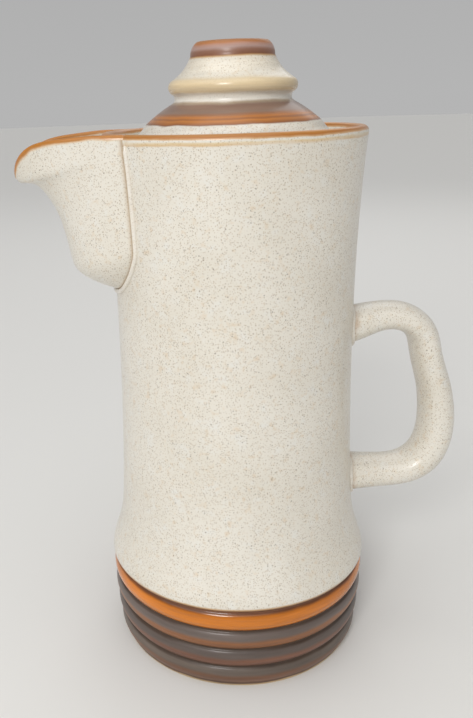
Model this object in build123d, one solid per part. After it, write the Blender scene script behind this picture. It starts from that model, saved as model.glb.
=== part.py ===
from build123d import *
import math
import os

# Tall stoneware coffee pot: a waisted body on a ridged foot, a luted-on spout and handle, and a
# recessed lift-off lid. Millimetres, +Z up. The origin is on the body's axis, on the table.
# The spout points along -X and the handle along +X.

# ---- body ----
rim_height = 246.0
rim_radius = 56.8
waist_height = 156.0
waist_radius = 53.9
flare_radius = 63.3  # widest part of the cream wall, just above the foot
flare_rise = 2.3  # from the top of the foot to the widest place
flare_tuck = 1.3  # how far the wall tucks in under the flare
base_radius = 59.4
wall = 4.6
rim_lip_wall = 4.8  # across the full-round rim

# ---- foot: three ridges and an accent ring, with a groove above each ----
ridge_count = 3
base_edge_height = 2.3
ridge_height = 8.4
accent_height = 8.2
groove_height = 2.0
groove_depth = 1.5
ridge_bulge = 0.7
accent_bulge = 0.5

# ---- underside and floor ----
floor_thickness = 7.0
foot_ring_width = 6.0
foot_recess = 3.0
floor_corner = 12.0

# ---- gallery: the ledge inside the rim that the lid sits on ----
gallery_depth = 10.0  # below the rim
gallery_thickness = 4.5
gallery_width = 6.6  # in from the wall's inner face at the rim
gallery_bevel = 1.5  # off its lower inside corner
gallery_haunch = 6.0  # how far its sloping underside runs down the wall

# ---- lid ----
lid_edge_gap = 1.4  # between the lid's edge and the rim's inside
seat_gap = 0.1  # between the lid and the gallery ledge at rest
lid_wall = 4.6
lid_edge_thickness = 4.4
lid_shoulder_radius = 39.2  # where the lid's dome rises past the rim
lid_step_radius = 36.6
lid_step_height = 3.0  # above the rim
lid_neck_radius = 24.7
lid_neck_height = 12.0  # above the rim
lid_ring_radius = 27.2
lid_ring_height = 17.0  # above the rim
knob_radius = 17.6
knob_base_height = 28.4  # above the rim
knob_top_radius = 14.8
knob_height = 34.0  # above the rim
knob_dish = 0.8
knob_roof = 9.1  # clay between the knob's top and the hollow under it
lid_shoulder_fullness = 0.6  # of the way up from the step to the neck, near the middle of that slope
flange_gap = 1.6  # between the flange and the gallery's inner edge
flange_wall = 4.2
flange_depth = 15.5  # below the gallery ledge

# ---- locking lug on the flange, and its notch in the gallery ----
lug_width = 14.0
lug_reach = 4.0  # out from the flange
lug_height = 4.0
lug_drop = 1.6  # below the underside of the gallery
notch_side_gap = 1.6
notch_reach_gap = 1.4

# ---- spout ----
spout_reach = 38.2  # lip beyond the rim's outside
spout_drop = 66.0  # from the rim to the bottom of the seam
spout_half_width = 34.2  # of the seam at the rim
spout_wall = 4.2
lip_drop = 19.6  # from the rim to the drip edge under the lip
spout_lip_wall = 2.8
pouch_stations = 18

# ---- pour window through the wall behind the spout ----
window_width = 30.0
window_drop = 22.0  # from the rim to its top
window_sill = 8.0  # from its bottom down to the bottom of the spout's seam
window_corner = 12.0

# ---- handle ----
handle_top = 160.4  # centre of the upper arm
handle_bottom = 80.4  # centre of the lower arm
handle_reach = 41.4  # centre of the grip beyond the rim's outside
handle_width = 23.0
upper_arm_thickness = 12.8
grip_thickness = 16.4
lower_arm_thickness = 15.0
upper_root_thickness = 15.2
lower_root_thickness = 15.8
root_width = 26.0

# ---- slip beads at the seams ----
spout_seam_bead = 1.7
handle_seam_bead = 1.4

# Worked out from the sizes above.
foot_height = (
    base_edge_height
    + ridge_count * (ridge_height + groove_height)
    + accent_height
    + groove_height
)
flare_height = foot_height + flare_rise
rim_inside = rim_radius - rim_lip_wall
ledge_height = rim_height - gallery_depth
gallery_inside = rim_inside - gallery_width
gallery_under = ledge_height - gallery_thickness
lid_edge_radius = rim_inside - lid_edge_gap
lid_seat = ledge_height + seat_gap
flange_radius = gallery_inside - flange_gap
flange_inside = flange_radius - flange_wall
lug_top = gallery_under - lug_drop
window_height = spout_drop - window_drop - window_sill
above_all = rim_height + 60.0


def point(radius, height):
    """A place in the XZ plane, where every turned profile is drawn."""
    return Vector(radius, 0, height)


def outline(*places):
    """Straight edges from each place to the next."""
    return Polyline(*[point(*place) for place in places]).edges()


def turned(edges):
    """A solid turned about the body's axis from a closed outline in the XZ plane."""
    return revolve(Face(Wire(edges)), Axis.Z)


def foot_radius_at(height):
    """The foot swells from the base to the flare along a parabola."""
    share = 1 - (1 - height / foot_height) ** 2
    return base_radius + (flare_radius - flare_tuck / 2 - base_radius) * share


def wall_curve(inset=0.0):
    """The waisted wall from the flare up to the rim, moved in by inset."""
    places = [
        (flare_radius, flare_height),
        (flare_radius - 3.3, flare_height + 11.6),
        (flare_radius - 7.2, flare_height + 37.5),
        (waist_radius, waist_height),
        (rim_radius, rim_height - rim_lip_wall / 2),
    ]
    return Spline([point(r - inset, z) for r, z in places], tangents=[(-0.05, 0, 1), (0.09, 0, 1)])


def foot_edges():
    """The outside of the foot from the base up to the flare: bulging rings with grooves between."""
    heights = [(ridge_height, ridge_bulge)] * ridge_count + [(accent_height, accent_bulge)]
    bottom = base_edge_height
    start = point(foot_radius_at(bottom) - groove_depth / 2, bottom)
    edges = [Line(point(foot_radius_at(0) - groove_depth / 2, 0), start)]
    for height, bulge in heights:
        top = bottom + height
        end = point(foot_radius_at(top) - groove_depth / 2, top)
        crest = point(foot_radius_at((bottom + top) / 2) + bulge, (bottom + top) / 2)
        edges.append(ThreePointArc(start, crest, end))
        bottom = top + groove_height
        start = point(foot_radius_at(bottom) - groove_depth / 2, bottom)
        middle = top + groove_height / 2
        edges.append(ThreePointArc(end, point(foot_radius_at(middle) - groove_depth, middle), start))
    shoulder = point(flare_radius - 0.5, foot_height + flare_rise / 3)
    edges.append(ThreePointArc(start, shoulder, point(flare_radius, flare_height)))
    return edges


def body_envelope():
    """The whole space inside the body's outer skin, carried straight up above the rim."""
    foot = foot_edges()
    skin = wall_curve()
    return turned(
        [Edge.make_line(point(0, 0), foot[0] @ 0), *foot, skin]
        + outline((rim_radius, rim_height - rim_lip_wall / 2), (rim_radius, above_all), (0, above_all), (0, 0))
    )


def body_space():
    """The hollow inside the body: floor, wall, gallery ledge and rim."""
    inside = wall_curve(inset=wall)
    ledge_end = rim_radius - wall / 5
    foot_inside = base_radius - foot_ring_width
    corner_shift = floor_corner * math.sqrt(0.5)
    floor_round = ThreePointArc(
        point(foot_inside - floor_corner, floor_thickness),
        point(foot_inside - floor_corner + corner_shift, floor_thickness + floor_corner - corner_shift),
        point(foot_inside, floor_thickness + floor_corner),
    )
    hollow = turned(
        outline((0, above_all), (0, floor_thickness), (foot_inside - floor_corner, floor_thickness))
        + [floor_round]
        + [Line(point(foot_inside, floor_thickness + floor_corner), inside @ 0), inside]
        + outline(((inside @ 1).X, (inside @ 1).Z), (rim_inside, rim_height), (rim_inside, above_all), (0, above_all))
    )
    gallery = turned(
        outline(
            (gallery_inside, gallery_under + gallery_bevel),
            (gallery_inside, ledge_height),
            (ledge_end, ledge_height),
            (ledge_end, gallery_under - gallery_haunch),
            (ledge_end - wall, gallery_under - gallery_haunch),
            (gallery_inside + gallery_bevel, gallery_under),
            (gallery_inside, gallery_under + gallery_bevel),
        )
    )
    notch_start = gallery_inside - 3 * flange_gap
    notch = Pos(X=notch_start, Z=ledge_height) * Box(
        flange_radius + lug_reach + notch_reach_gap - notch_start,
        lug_width + 2 * notch_side_gap,
        4 * gallery_thickness,
        align=(Align.MIN, Align.CENTER, Align.CENTER),
    )
    return hollow - (gallery - notch)


def keel_line():
    """The spout's outline in the plane of symmetry, from above the rim, round the lip, to the seam."""
    reach, drop, lip = spout_reach, spout_drop, lip_drop
    shares = [
        (reach + 5.6, 1.0),
        (reach + 3.0, 0.55 * lip),
        (reach + 0.6, lip - 4.5),
        (reach - 1.8, lip - 0.2),
        (reach - 7.0, lip + 0.3),
        (0.67 * reach, lip + 4.8),
        (0.555 * reach, lip + 12.4),
        (0.485 * reach, lip + 21.3),
        (0.44 * reach, lip + 30.2),
        (0.39 * reach, drop - 9.4),
        (0.26 * reach, drop - 4.9),
        (0.073 * reach, drop - 1.7),
        (-0.13 * reach, drop + 0.6),
        (-0.32 * reach, drop + 2.0),
    ]
    return [(rim_radius + out, rim_height - down) for out, down in shares]


def moved_in(line, inset):
    """Each place of a keel line moved square to the line, into the spout."""
    moved = []
    for i, (out, height) in enumerate(line):
        before, after = line[max(i - 1, 0)], line[min(i + 1, len(line) - 1)]
        along = Vector(after[0] - before[0], after[1] - before[1]).normalized()
        moved.append((out + along.Y * inset, height - along.X * inset))
    return moved


def channel_line():
    """The inside of the keel: thin towards the lip, full thickness below, with no drip edge."""
    keel = keel_line()
    return moved_in(keel, spout_lip_wall)[:2] + moved_in(keel, spout_wall)[4:]


def pouch(line, narrowing):
    """A smooth closed pouch under a keel line: U sections in tilted planes, all opening at the body.

    The straight back of each section stands inside the body, where the body's skin cuts it away.
    """
    keel = Spline([point(-out, height) for out, height in line])
    back_x = -0.72 * rim_radius
    back_top, back_bottom = rim_height + 16.0, rim_height - spout_drop - 9.0
    closing_start, closing_depth = 0.68 * spout_drop, 0.45 * spout_drop
    sections = []
    for step in range(pouch_stations):
        share = step / (pouch_stations - 1)
        back = point(back_x, back_top + (back_bottom - back_top) * share)
        nose_end = keel @ share
        closing = max(0.0, (rim_height - back.Z - closing_start) / closing_depth) ** 1.6
        half_width = spout_half_width * (1 - 0.085 * share - 0.66 * closing) - narrowing
        fullness = 1.6 + 0.6 * share
        across = Vector(0, half_width, 0)
        places = []
        for turn in range(-90, 91, 15):
            forward = math.cos(math.radians(turn)) ** (2 / fullness)
            sideways = math.copysign(abs(math.sin(math.radians(turn))) ** (2 / fullness), turn)
            places.append(back + (nose_end - back) * forward + across * sideways)
        nose = Spline(places)
        sections.append(Face(Wire([nose, Line(nose @ 1, nose @ 0)])))
    return loft(sections)


def make_body():
    """The waisted cylinder with its ridged foot, gallery, recessed underside and pour window."""
    foot = foot_edges()
    skin = wall_curve()
    lip_start = rim_height - rim_lip_wall / 2
    rim_lip = ThreePointArc(
        point(rim_radius, lip_start),
        point(rim_radius - rim_lip_wall / 2, rim_height),
        point(rim_inside, lip_start),
    )
    outside = turned(
        [Line(point(0, 0), foot[0] @ 0), *foot, skin, rim_lip]
        + outline((rim_inside, lip_start), (0, lip_start), (0, 0))
    )
    recess_radius = base_radius - foot_ring_width
    recess = turned(
        outline(
            (0, -1),
            (recess_radius + foot_recess / 3, -1),
            (recess_radius - foot_recess / 2, foot_recess),
            (0, foot_recess),
            (0, -1),
        )
    )
    window_middle = rim_height - window_drop - window_height / 2
    window = Plane.YZ.offset(-rim_radius - wall) * Pos(Y=window_middle) * RectangleRounded(
        window_width, window_height, window_corner
    )
    return outside - body_space() - recess - extrude(window, 4 * wall)


def above_spout_rim():
    """Everything above the spout's rim line, which runs level from the body and curls down at the lip."""
    shares = [(0.05, 0.0), (0.41, 0.06), (0.775, 0.235), (0.92, 0.49), (0.985, 0.75), (1.0, 0.89)]
    line = Spline([point(-rim_radius - out * spout_reach, rim_height - down * lip_drop) for out, down in shares])
    start, tip = line @ 0, line @ 1
    edges = [line] + outline(
        (tip.X, tip.Z), (2 * tip.X, tip.Z), (2 * tip.X, above_all), (0, above_all), (0, rim_height), (start.X, start.Z)
    )
    return extrude(Face(Wire(edges)), spout_half_width * 2, both=True)


def spout_block():
    """The spout as if it were solid clay, cut to the body's skin and to its rim line."""
    return pouch(keel_line(), 0.0) - body_envelope() - above_spout_rim()


def make_spout():
    """A wall of even thickness round an open channel."""
    return spout_block() - pouch(channel_line(), spout_wall)


def handle_stations():
    """Centre line of the handle in the XZ plane with the thickness and width of its oval section."""
    grip = rim_radius + handle_reach
    arm_gap = handle_top - handle_bottom
    inside_wall = waist_radius - wall
    return [
        (inside_wall - 4.0, handle_top - 5.0, upper_root_thickness + 2.0, root_width + 2.0),
        (waist_radius + 3.0, handle_top - 2.6, upper_root_thickness, root_width),
        (waist_radius + 14.5, handle_top, upper_arm_thickness, handle_width),
        (grip - 19.0, handle_top - 1.0, upper_arm_thickness, handle_width),
        (grip - 11.2, handle_top - 7.0, upper_arm_thickness + 0.6, handle_width),
        (grip - 7.0, handle_top - 0.24 * arm_gap, upper_arm_thickness + 1.4, handle_width),
        (grip - 2.8, handle_top - 0.43 * arm_gap, grip_thickness - 1.0, handle_width),
        (grip, handle_top - 0.62 * arm_gap, grip_thickness, handle_width),
        (grip - 0.6, handle_top - 0.78 * arm_gap, grip_thickness + 0.4, handle_width),
        (grip - 5.6, handle_bottom + 6.8, grip_thickness, handle_width),
        (grip - 14.5, handle_bottom + 1.4, lower_arm_thickness, handle_width),
        (waist_radius + 16.0, handle_bottom, lower_arm_thickness, handle_width),
        (waist_radius + 5.0, handle_bottom, lower_root_thickness, root_width),
        (inside_wall - 4.0, handle_bottom, lower_root_thickness + 1.0, root_width + 2.0),
    ]


def handle_bar(grown=0.0):
    """The oval bar of the handle, running on into the wall at both ends."""
    stations = handle_stations()
    path = Spline([point(x, z) for x, z, _, _ in stations])
    sections = []
    for x, z, thickness, width in stations:
        place = path.param_at_point(point(x, z))
        frame = Plane(origin=point(x, z), x_dir=(0, 1, 0), z_dir=path % place)
        sections.append(frame * Ellipse(width / 2 + grown, thickness / 2 + grown))
    return loft(sections)


def make_handle():
    """The bar cut to the body's skin at both roots."""
    return handle_bar() - body_envelope()


def skin_layer(thickness):
    """The body's wall with its skin moved out, the space in which the beads of slip lie."""
    grown = wall_curve(inset=-thickness)
    start, end = grown @ 0, grown @ 1
    return turned([grown] + outline((end.X, end.Z), (0, end.Z), (0, start.Z), (start.X, start.Z)))


def root_beads():
    """A bead of slip in the corner all round each root of the handle, the lower one first."""
    beads = (handle_bar(handle_seam_bead) & skin_layer(handle_seam_bead)) - body_envelope() - handle_bar()
    return beads.solids().sort_by(Axis.Z)


def spout_bead():
    """A bead of slip in the corner where the spout's sides and bottom meet the body."""
    grown = pouch(moved_in(keel_line(), -spout_seam_bead), -spout_seam_bead)
    return (grown & skin_layer(spout_seam_bead)) - body_envelope() - pouch(keel_line(), 0.0)


def lid_outside():
    """The lid's upper face from the knob's dished top out to the edge."""
    rim = rim_height
    knob_edge = (knob_radius, rim + knob_base_height)
    ring_top = (lid_ring_radius - 1.3, rim + lid_ring_height + 2.2)
    ring_under = (lid_neck_radius + 0.7, rim + lid_neck_height + 1.8)
    neck_foot = (lid_neck_radius + 1.2, rim + lid_neck_height - 1.7)
    step_top = (lid_step_radius, rim + lid_step_height)
    dome_top = (lid_step_radius + 1.2, rim + lid_step_height - 1.2)
    edge_top = (lid_edge_radius - 1.8, lid_seat + lid_edge_thickness)
    edge_side = (lid_edge_radius, lid_seat + lid_edge_thickness - 1.8)
    slope = (knob_edge[0] + 0.38 * (ring_top[0] - knob_edge[0]), knob_edge[1] - 0.54 * (knob_edge[1] - ring_top[1]))
    shoulder = (
        neck_foot[0] + 0.45 * (step_top[0] - neck_foot[0]),
        step_top[1] + lid_shoulder_fullness * (neck_foot[1] - step_top[1]),
    )
    return [
        ThreePointArc(
            point(0, rim + knob_height - knob_dish),
            point(knob_top_radius * 0.5, rim + knob_height - knob_dish * 0.72),
            point(knob_top_radius, rim + knob_height),
        ),
        ThreePointArc(
            point(knob_top_radius, rim + knob_height),
            point(knob_radius - 0.7, rim + knob_height - 2.4),
            point(*knob_edge),
        ),
        Spline([point(*knob_edge), point(*slope), point(*ring_top)]),
        ThreePointArc(point(*ring_top), point(lid_ring_radius, rim + lid_ring_height), point(*ring_under)),
        ThreePointArc(point(*ring_under), point(lid_neck_radius, rim + lid_neck_height), point(*neck_foot)),
        Spline([point(*neck_foot), point(*shoulder), point(*step_top)]),
        Line(point(*step_top), point(*dome_top)),
        Spline([point(*dome_top), point(lid_shoulder_radius, rim), point(*edge_top)]),
        ThreePointArc(
            point(*edge_top), point(lid_edge_radius - 0.5, lid_seat + lid_edge_thickness - 0.5), point(*edge_side)
        ),
    ]


def make_lid():
    """A hollow turned lid: knob, ring, neck, dome, seat and locating flange."""
    rim = rim_height
    flange_bottom = ledge_height - flange_depth
    hollow_start = (flange_inside, rim - lid_wall - 3.0)
    hollow_end = (knob_radius - lid_wall - 1.4, rim + knob_height - knob_roof)
    under = outline(
        (lid_edge_radius, lid_seat + lid_edge_thickness - 1.8),
        (lid_edge_radius, lid_seat),
        (flange_radius, lid_seat),
        (flange_radius, flange_bottom),
        (flange_inside, flange_bottom),
        hollow_start,
    )
    hollow = Spline(
        [
            point(*hollow_start),
            point(lid_neck_radius + 3.0, rim + lid_neck_height - 9.0),
            point(lid_neck_radius - lid_wall, rim + lid_neck_height + 1.5),
            point(*hollow_end),
        ]
    )
    ceiling = outline(hollow_end, (0, hollow_end[1]), (0, rim + knob_height - knob_dish))
    return turned(lid_outside() + under + [hollow] + ceiling)


def make_lug():
    """A tab luted to the flange, which turns under the gallery to hold the lid while pouring."""
    tab = Pos(X=flange_inside, Z=lug_top - lug_height) * Box(
        flange_wall + lug_reach, lug_width, lug_height, align=(Align.MIN, Align.CENTER, Align.MIN)
    )
    outer = tab.edges().filter_by(Axis.Z).sort_by(Axis.X)[-2:]
    tab = fillet(outer, lug_reach / 2)
    return tab - Cylinder(flange_radius, 4 * rim_height)


def main():
    lower_bead, upper_bead = root_beads()
    nodes = {
        "pot_body": make_body(),
        "spout": make_spout(),
        "handle": make_handle(),
        "spout_seam_slip": spout_bead(),
        "handle_upper_seam_slip": upper_bead,
        "handle_lower_seam_slip": lower_bead,
        "lid": make_lid(),
        "lid_lug": make_lug(),
    }
    os.makedirs("parts", exist_ok=True)
    for name, solid in nodes.items():
        export_step(solid, f"parts/{name}.step")


main()
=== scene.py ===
import math

import bmesh
import bpy
import numpy as np
from mathutils import Matrix, Vector


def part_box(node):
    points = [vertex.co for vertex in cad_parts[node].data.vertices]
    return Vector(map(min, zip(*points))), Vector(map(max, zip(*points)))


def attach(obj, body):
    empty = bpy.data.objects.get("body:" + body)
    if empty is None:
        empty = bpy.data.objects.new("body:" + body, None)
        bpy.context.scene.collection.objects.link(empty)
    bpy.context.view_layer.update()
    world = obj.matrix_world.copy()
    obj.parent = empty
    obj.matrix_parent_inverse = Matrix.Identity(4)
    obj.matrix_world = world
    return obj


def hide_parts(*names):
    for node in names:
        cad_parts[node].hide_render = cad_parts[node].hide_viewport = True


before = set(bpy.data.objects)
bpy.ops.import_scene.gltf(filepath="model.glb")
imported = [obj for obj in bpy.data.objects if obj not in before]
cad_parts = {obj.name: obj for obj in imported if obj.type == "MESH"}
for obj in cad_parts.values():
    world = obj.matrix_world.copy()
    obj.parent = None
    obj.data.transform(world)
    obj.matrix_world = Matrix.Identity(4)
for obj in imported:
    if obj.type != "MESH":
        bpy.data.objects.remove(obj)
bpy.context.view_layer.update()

# Sizes are millimetres until a mesh is made. The pot stands on z = 0, its spout points along -X.
MM = 0.001
POT_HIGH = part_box("pot_body")[1]
LID_LOW, LID_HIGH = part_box("lid")
SPOUT_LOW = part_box("spout")[0]
HANDLE_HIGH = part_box("handle")[1]

RIM = POT_HIGH.z / MM
FLARE = POT_HIGH.x / MM
RIM_RADIUS = 56.8
WAIST_RADIUS = 53.9
BASE_RADIUS = 59.4
WAIST = 156.0
WALL = 4.6
RIM_WALL = 4.8
RIM_INSIDE = RIM_RADIUS - RIM_WALL
LEDGE = RIM - 10.0
GALLERY_INSIDE = RIM_INSIDE - 6.6
GALLERY_THICKNESS = 4.5
FLOOR = 7.0

# The foot, from the table up: a bare edge, three ridges and the orange ring, a groove above each.
EDGE_HEIGHT = 2.3
RIDGE_HEIGHT = 8.4
RING_HEIGHT = 8.2
GROOVE_HEIGHT = 2.0
GROOVE_DEPTH = 1.5
RIDGE_BULGE = 0.7
RING_BULGE = 0.5
BANDS = [(RIDGE_HEIGHT, RIDGE_BULGE)] * 3 + [(RING_HEIGHT, RING_BULGE)]
FOOT = EDGE_HEIGHT + sum(height + GROOVE_HEIGHT for height, _ in BANDS)
FLARE_HEIGHT = FOOT + 2.3

LID_EDGE = LID_HIGH.x / MM
KNOB_TOP = LID_HIGH.z / MM
SEAT_GAP = 0.1
FLANGE_GAP = 1.6
FLANGE_RADIUS = GALLERY_INSIDE - FLANGE_GAP
FLANGE_INSIDE = FLANGE_RADIUS - 4.2
FLANGE_BOTTOM = LID_LOW.z / MM

# The notch through the gallery that lets the lid's lug pass.
NOTCH_HALF_WIDTH = 8.6
NOTCH_BACK = GALLERY_INSIDE - 4.8
NOTCH_REACH = FLANGE_RADIUS + 5.4
NOTCH_LOW, NOTCH_HIGH = LEDGE - 11.0, LEDGE + 4.0

SPOUT_REACH = -SPOUT_LOW.x / MM - RIM_RADIUS
SPOUT_DROP = 66.0
SPOUT_HALF_WIDTH = 34.2
SPOUT_WALL = 4.2
LIP_WALL = 2.8
LIP_DROP = 19.6

# The pour window through the wall behind the spout.
WINDOW_HALF_WIDTH = 15.0
WINDOW_HALF_HEIGHT = 18.0
WINDOW_CORNER = 12.0
WINDOW_MIDDLE = RIM - 22.0 - WINDOW_HALF_HEIGHT

HANDLE_TOP = 160.4
HANDLE_BOTTOM = 80.4
HANDLE_WIDTH = 23.0
ROOT_WIDTH = 26.0
EMBED = 1.6  # how far a luted piece's hidden end stands inside the wall


# ---- curves ----

def smooth(places, at, ends=None):
    """A cubic spline through the places, taken at shares 0 to 1 along its chords, or at that many even ones.

    It is straight where it ends unless ends gives the two slopes.
    """
    places = np.array(places, float)
    shares = np.linspace(0, 1, at) if isinstance(at, int) else np.asarray(at, float)
    steps = np.linalg.norm(np.diff(places, axis=0), axis=1)
    along = np.concatenate([[0], np.cumsum(steps)])
    matrix = np.eye(len(places))
    right = np.zeros(places.shape)
    slopes = np.diff(places, axis=0) / steps[:, None]
    for i in range(1, len(places) - 1):
        matrix[i, i - 1:i + 2] = steps[i - 1], 2 * (steps[i - 1] + steps[i]), steps[i]
        right[i] = 6 * (slopes[i] - slopes[i - 1])
    if ends:
        first, last = (np.array(end) / np.linalg.norm(end) for end in ends)
        matrix[0, :2] = 2 * steps[0], steps[0]
        matrix[-1, -2:] = steps[-1], 2 * steps[-1]
        right[0], right[-1] = 6 * (slopes[0] - first), 6 * (last - slopes[-1])
    bend = np.linalg.solve(matrix, right)
    place = shares * along[-1]
    i = np.clip(np.searchsorted(along, place, side="right") - 1, 0, len(steps) - 1)
    step = steps[i][:, None]
    before, after = (along[i + 1] - place)[:, None], (place - along[i])[:, None]
    return (
        (bend[i] * before**3 + bend[i + 1] * after**3) / (6 * step)
        + (places[i] / step - bend[i] * step / 6) * before
        + (places[i + 1] / step - bend[i + 1] * step / 6) * after
    )


def arc(start, middle, end, count):
    """A circular arc through three places in the (radius, height) plane."""
    (ax, ay), (bx, by), (cx, cy) = start, middle, end
    d = 2 * (ax * (by - cy) + bx * (cy - ay) + cx * (ay - by))
    ux = ((ax**2 + ay**2) * (by - cy) + (bx**2 + by**2) * (cy - ay) + (cx**2 + cy**2) * (ay - by)) / d
    uy = ((ax**2 + ay**2) * (cx - bx) + (bx**2 + by**2) * (ax - cx) + (cx**2 + cy**2) * (bx - ax)) / d
    radius = math.hypot(ax - ux, ay - uy)
    first, mid, last = (math.atan2(y - uy, x - ux) for x, y in (start, middle, end))
    turn = (last - first) % (2 * math.pi)
    if (mid - first) % (2 * math.pi) > turn:
        turn -= 2 * math.pi
    angles = first + turn * np.linspace(0, 1, count)
    return np.stack([ux + radius * np.cos(angles), uy + radius * np.sin(angles)], axis=1)


def eased(corners, radius, count=5):
    """Straight runs between corners, each inner corner rounded off as glaze rounds it."""
    corners = [np.array(corner, float) for corner in corners]
    places = [corners[0]]
    for before, corner, after in zip(corners, corners[1:], corners[2:]):
        legs = [end - corner for end in (before, after)]
        start, end = (corner + leg * min(radius / np.linalg.norm(leg), 0.48) for leg in legs)
        for share in np.linspace(0, 1, count):
            places.append(start * (1 - share) ** 2 + corner * 2 * share * (1 - share) + end * share**2)
    return np.array(places + [corners[-1]])


def joined(*runs):
    """One outline from several runs, without the repeated place where two meet."""
    return np.concatenate([runs[0]] + [run[1:] for run in runs[1:]])


# ---- meshes ----

def finished(name, places, faces, material):
    """A closed smooth-shaded mesh from places in millimetres."""
    shape = bmesh.new()
    vertices = [shape.verts.new(Vector(place) * MM) for place in places]
    for face in faces:
        shape.faces.new([vertices[i] for i in face])
    bmesh.ops.remove_doubles(shape, verts=shape.verts, dist=0.001 * MM)
    bmesh.ops.dissolve_degenerate(shape, edges=shape.edges, dist=0.0005 * MM)
    bmesh.ops.recalc_face_normals(shape, faces=shape.faces)
    mesh = bpy.data.meshes.new(name)
    shape.to_mesh(mesh)
    shape.free()
    mesh.shade_smooth()
    mesh.materials.append(material)
    piece = bpy.data.objects.new(name, mesh)
    bpy.context.scene.collection.objects.link(piece)
    return piece


def grid_faces(rows, columns, wrapped_rows=False, wrapped_columns=False):
    """The four-sided faces of a grid whose places are listed row by row."""
    faces = []
    for row in range(rows - (not wrapped_rows)):
        below = (row + 1) % rows
        for column in range(columns - (not wrapped_columns)):
            beside = (column + 1) % columns
            corners = ((row, column), (row, beside), (below, beside), (below, column))
            faces.append(tuple(line * columns + place for line, place in corners))
    return faces


def turned(name, profile, material, steps=256):
    """A profile in the (radius, height) plane turned about the pot's axis, closed at the axis."""
    angles = np.linspace(0, 2 * math.pi, steps, endpoint=False)
    radius, height = profile[:, :1], profile[:, 1:]
    places = np.stack([radius * np.cos(angles), radius * np.sin(angles), height + 0 * angles], axis=-1)
    return finished(name, places.reshape(-1, 3), grid_faces(len(profile), steps, False, True), material)


def prism(name, outline, low, high, place):
    """A cutter: a flat outline pushed from low to high, with place giving where each corner goes."""
    count = len(outline)
    places = [place(u, v, low) for u, v in outline] + [place(u, v, high) for u, v in outline]
    faces = [(i, (i + 1) % count, count + (i + 1) % count, count + i) for i in range(count)]
    faces += [tuple(range(count)), tuple(range(count, 2 * count))]
    return finished(name, places, faces, None)


def cut(piece, cutter):
    """Take the cutter's space out of the piece, then throw the cutter away."""
    change = piece.modifiers.new("cut", "BOOLEAN")
    change.operation, change.solver, change.object = "DIFFERENCE", "EXACT", cutter
    bpy.context.view_layer.update()
    seen = piece.evaluated_get(bpy.context.evaluated_depsgraph_get())
    mesh = bpy.data.meshes.new_from_object(seen)
    piece.modifiers.remove(change)
    piece.data = mesh
    bpy.data.objects.remove(cutter)


def bead(name, path, radii, up, material, looped=False, sides=20):
    """A round bead of slip along a path, with up giving each ring's second axis."""
    path, up = np.array(path), np.array(up)
    if looped:
        along = np.roll(path, -1, axis=0) - np.roll(path, 1, axis=0)
    else:
        along = np.gradient(path, axis=0)
    along /= np.linalg.norm(along, axis=1)[:, None]
    across = np.cross(along, up)
    across /= np.linalg.norm(across, axis=1)[:, None]
    up = np.cross(across, along)
    angles = np.linspace(0, 2 * math.pi, sides, endpoint=False)[None, :, None]
    ring = across[:, None] * np.cos(angles) + up[:, None] * np.sin(angles)
    places = path[:, None] + ring * np.array(radii)[:, None, None]
    return finished(name, places.reshape(-1, 3), grid_faces(len(path), sides, looped, True), material)


# ---- glazes ----

def paint(hex_colour):
    """A linear colour from an sRGB hex value."""
    channels = [int(hex_colour[i:i + 2], 16) / 255 for i in (1, 3, 5)]
    return tuple(c / 12.92 if c <= 0.04045 else ((c + 0.055) / 1.055) ** 2.4 for c in channels) + (1.0,)


def add(tree, kind, links=(), stops=(), **settings):
    """Add one node: links are (socket, output) pairs, settings its properties or sockets.

    stops are a colour ramp's (place, colour) or (place, colour, cover), the colour as hex or linear.
    """
    node = tree.nodes.new(kind)
    for name, value in settings.items():
        if hasattr(node, name):
            setattr(node, name, value)
        else:
            node.inputs[name.replace("_", " ")].default_value = value
    for socket, output in links:
        tree.links.new(output, node.inputs[socket])
    for i, (place, colour, *cover) in enumerate(stops):
        mark = node.color_ramp.elements[i] if i < 2 else node.color_ramp.elements.new(1.0)
        mark.position = min(max(place, 0.0), 1.0)
        mark.color = paint(colour)[:3] + tuple(cover or (1.0,)) if isinstance(colour, str) else colour
    return node


def fired(name, colour_of, roughness, gloss, grain):
    """A fired glaze: grain is the height of its ripples in mm.

    colour_of(tree, place) gives its colour and its roughness, which may be a plain number.
    """
    material = bpy.data.materials.new(name)
    material.use_nodes = True
    tree = material.node_tree
    surface = tree.nodes["Principled BSDF"]
    place = add(tree, "ShaderNodeTexCoord").outputs["Object"]
    colour, rough = colour_of(tree, place)
    tree.links.new(colour, surface.inputs["Base Color"])
    if isinstance(rough, float):
        surface.inputs["Roughness"].default_value = rough
    else:
        tree.links.new(rough, surface.inputs["Roughness"])
    surface.inputs["IOR"].default_value = 1.5
    surface.inputs["Coat Weight"].default_value = gloss
    surface.inputs["Coat Roughness"].default_value = roughness
    # A fired glaze ripples about every 6 mm.
    ripple = add(tree, "ShaderNodeTexNoise", [("Vector", place)], Scale=1 / (6.25 * MM), Detail=2.0)
    height = ripple.outputs["Fac"]
    bump = add(tree, "ShaderNodeBump", [("Height", height)], Strength=0.6, Distance=grain * MM)
    tree.links.new(bump.outputs["Normal"], surface.inputs["Normal"])
    return material


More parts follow.
